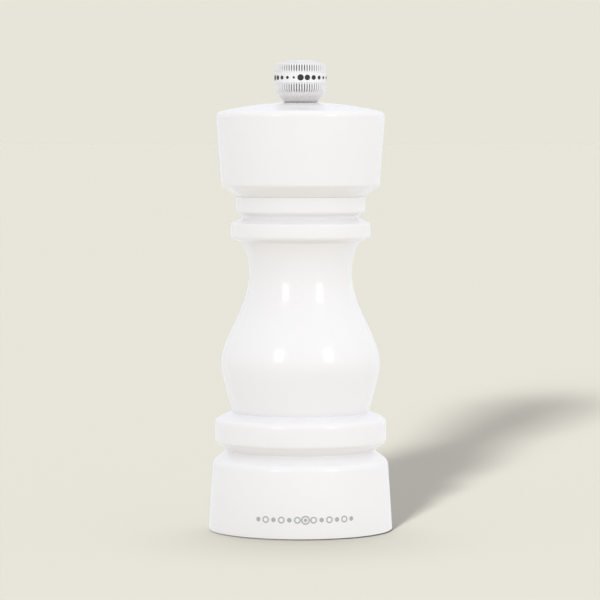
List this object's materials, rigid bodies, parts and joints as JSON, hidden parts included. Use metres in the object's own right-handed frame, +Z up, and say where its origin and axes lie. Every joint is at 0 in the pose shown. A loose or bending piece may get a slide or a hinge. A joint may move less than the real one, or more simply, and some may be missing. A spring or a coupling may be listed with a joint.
{
  "type": "pepper mill",
  "caption": "Turned wooden pepper mill in gloss white lacquer, with a fluted metal adjusting knob on top, a lift-off head that drives a square spindle, and a toothed steel grinder in the foot.",
  "frame": {"origin": "centre of the foot's underside, where the mill stands", "axes": "+Z up along the spindle; +X and +Y across the mill"},
  "size_m": [0.0648, 0.0648, 0.1656],
  "materials": {
    "white_lacquer": "turned beech under gloss white lacquer",
    "black_nylon": "moulded black nylon",
    "carbon_steel": "case-hardened grinding steel",
    "bright_steel": "zinc-plated steel",
    "aluminium": "drawn square bar",
    "satin_chrome": "satin chrome plate",
    "brass": "turned, threaded",
    "fibre": "vulcanised fibre"
  },
  "bodies": {
    "mill_body": {"body": "white_lacquer", "grinder_housing": "black_nylon", "stator_ring": "carbon_steel", "bridge": "bright_steel", "guide_bush": "black_nylon", "grinder_spring": "bright_steel", "housing_screw_1": "bright_steel", "housing_screw_2": "bright_steel", "housing_screw_3": "bright_steel"},
    "thrust_washer": {"spring_washer": "bright_steel"},
    "spindle_unit": {"spindle": "aluminium", "rotor": "carbon_steel", "rotor_washer": "bright_steel", "retaining_clip": "bright_steel"},
    "ferrule": {"head_ferrule": "bright_steel"},
    "head_unit": {"head": "white_lacquer", "drive_plate": "bright_steel", "drive_plate_screw_1": "bright_steel", "drive_plate_screw_2": "bright_steel", "drive_plate_screw_3": "bright_steel"},
    "knob_seat": {"knob_washer": "fibre"},
    "knob_unit": {"knob": "satin_chrome", "knob_insert": "brass"}
  },
  "joints": [
    {"name": "head_lift", "type": "slide", "parent": "mill_body", "child": "ferrule", "axis": [0, 0, 1], "range_m": [0, 0.07]},
    {"name": "head_turn", "type": "hinge", "parent": "ferrule", "child": "head_unit", "pos_m": [0, 0, 0.13], "axis": [0, 0, 1], "continuous": true},
    {"name": "knob_lift", "type": "slide", "parent": "head_unit", "child": "knob_seat", "axis": [0, 0, 1], "range_m": [0, 0.025]},
    {"name": "knob_turn", "type": "hinge", "parent": "knob_seat", "child": "knob_unit", "pos_m": [0, 0, 0.158], "axis": [0, 0, 1], "range_deg": [-540, 0]},
    {"name": "grind_gap", "type": "slide", "parent": "mill_body", "child": "thrust_washer", "axis": [0, 0, 1], "range_m": [0, 0.0012], "stiffness_N_per_m": 1500, "springref_m": -0.006, "deforming": ["grinder_spring"]},
    {"name": "spindle_turn", "type": "hinge", "parent": "thrust_washer", "child": "spindle_unit", "pos_m": [0, 0, 0.0145], "axis": [0, 0, 1], "continuous": true}
  ],
  "couplings": [
    {"joint": "knob_turn", "follows": "grind_gap", "rad_per_m": -7854},
    {"joint": "spindle_turn", "follows": "head_turn", "ratio": 1}
  ]
}
